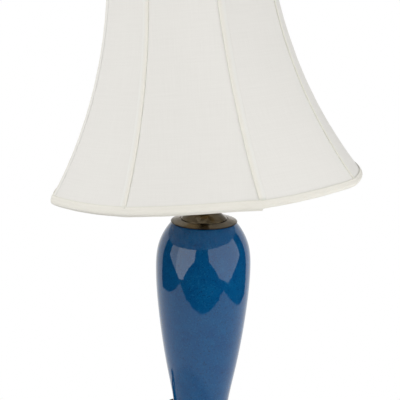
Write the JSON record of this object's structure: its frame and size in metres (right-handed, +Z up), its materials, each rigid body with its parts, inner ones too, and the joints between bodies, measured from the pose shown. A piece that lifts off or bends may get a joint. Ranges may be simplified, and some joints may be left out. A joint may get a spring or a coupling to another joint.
{
  "type": "ceramic table lamp",
  "caption": "Table lamp with a tall blue glazed vase body, bronze cap and foot, and a white panelled bell shade that sits crooked on its harp.",
  "frame": {"origin": "centre of the felt pad's underside, on the table", "axes": "+Z up along the vase's axis, -Y towards the viewer, +X to the viewer's right"},
  "size_m": [0.4111, 0.3992, 0.701],
  "materials": {
    "blue_glaze": "deep blue speckled gloss glaze",
    "aged_bronze": "dark antique bronze, brushed and lacquered",
    "brass_plate": "brass-plated steel wire and strip, satin",
    "holder_brass": "bright spun brass",
    "zinc_steel": "zinc-plated steel",
    "bare_aluminium": "thin drawn aluminium",
    "raw_iron": "rough cast iron",
    "black_rubber": "plain rubber sheet",
    "brown_felt": "pressed felt",
    "shade_cloth": "off-white slub weave",
    "lining_cloth": "white satin lining",
    "trim_cloth": "cream self-fabric tape and binding",
    "white_wire": "white coated wire",
    "frosted_glass": "frosted white bulb",
    "black_moulding": "black moulded plastic",
    "grey_card": "insulating card",
    "wire_insulation": "thin wire insulation",
    "black_cord": "round black cord jacket",
    "tie_strap": "black strap"
  },
  "bodies": {
    "lamp": {"felt_pad": "brown_felt", "base": "aged_bronze", "base_weight": "raw_iron", "base_washer": "zinc_steel", "base_nut": "zinc_steel", "vase_gasket": "black_rubber", "vase": "blue_glaze", "vase_cap": "aged_bronze", "neck": "aged_bronze", "lamp_rod": "zinc_steel", "harp_saddle": "brass_plate", "harp": "brass_plate", "holder_cap": "holder_brass", "set_screw": "zinc_steel", "holder_shell": "holder_brass", "holder_liner": "grey_card", "contact_block": "black_moulding", "screw_shell": "bare_aluminium", "centre_contact": "holder_brass", "cord_bushing": "black_moulding", "lead_wires": "wire_insulation", "cord_lead": "black_cord", "cord_coil": "black_cord", "cord_tie": "tie_strap", "plug_body": "black_moulding", "plug_blades": "holder_brass"},
    "shade": {"shade_top_ring": "white_wire", "shade_bottom_ring": "white_wire", "shade_ribs": "white_wire", "shade_spider": "brass_plate", "shade_lining": "lining_cloth", "shade_top_binding": "trim_cloth", "shade_bottom_binding": "trim_cloth", "harp_stud": "brass_plate", "shade_panel_1": "shade_cloth", "shade_panel_2": "shade_cloth", "shade_panel_3": "shade_cloth", "shade_panel_4": "shade_cloth", "shade_panel_5": "shade_cloth", "shade_panel_6": "shade_cloth", "shade_panel_7": "shade_cloth", "shade_panel_8": "shade_cloth", "seam_tape_1": "trim_cloth", "seam_tape_2": "trim_cloth", "seam_tape_3": "trim_cloth", "seam_tape_4": "trim_cloth", "seam_tape_5": "trim_cloth", "seam_tape_6": "trim_cloth", "seam_tape_7": "trim_cloth", "seam_tape_8": "trim_cloth"},
    "finial": {"finial": "aged_bronze"},
    "bulb": {"bulb_cap": "bare_aluminium", "bulb_glass": "frosted_glass"},
    "switch": {"switch_shaft": "holder_brass", "switch_knob": "black_moulding"},
    "sleeve_left": {"harp_sleeve_left": "brass_plate"},
    "sleeve_right": {"harp_sleeve_right": "brass_plate"}
  },
  "joints": [
    {"name": "shade_turn", "type": "hinge", "parent": "lamp", "child": "shade", "pos_m": [-0.02444, 0.01383, 0.66765], "axis": [-0.0963, 0.0545, 0.9939], "continuous": true},
    {"name": "finial_turn", "type": "hinge", "parent": "shade", "child": "finial", "pos_m": [-0.02444, 0.01383, 0.66765], "axis": [-0.0963, 0.0545, 0.9939], "continuous": true},
    {"name": "bulb_turn", "type": "hinge", "parent": "lamp", "child": "bulb", "pos_m": [0, 0, 0.42], "axis": [0, 0, 1], "continuous": true},
    {"name": "switch_turn", "type": "hinge", "parent": "lamp", "child": "switch", "pos_m": [0, 0, 0.4078], "axis": [-0.4924, -0.8704, 0], "continuous": true},
    {"name": "sleeve_left_slide", "type": "slide", "parent": "lamp", "child": "sleeve_left", "axis": [-0.0834, 0.0472, 0.9954], "range_m": [0, 0.014]},
    {"name": "sleeve_right_slide", "type": "slide", "parent": "lamp", "child": "sleeve_right", "axis": [-0.0834, 0.0472, 0.9954], "range_m": [0, 0.014]}
  ]
}
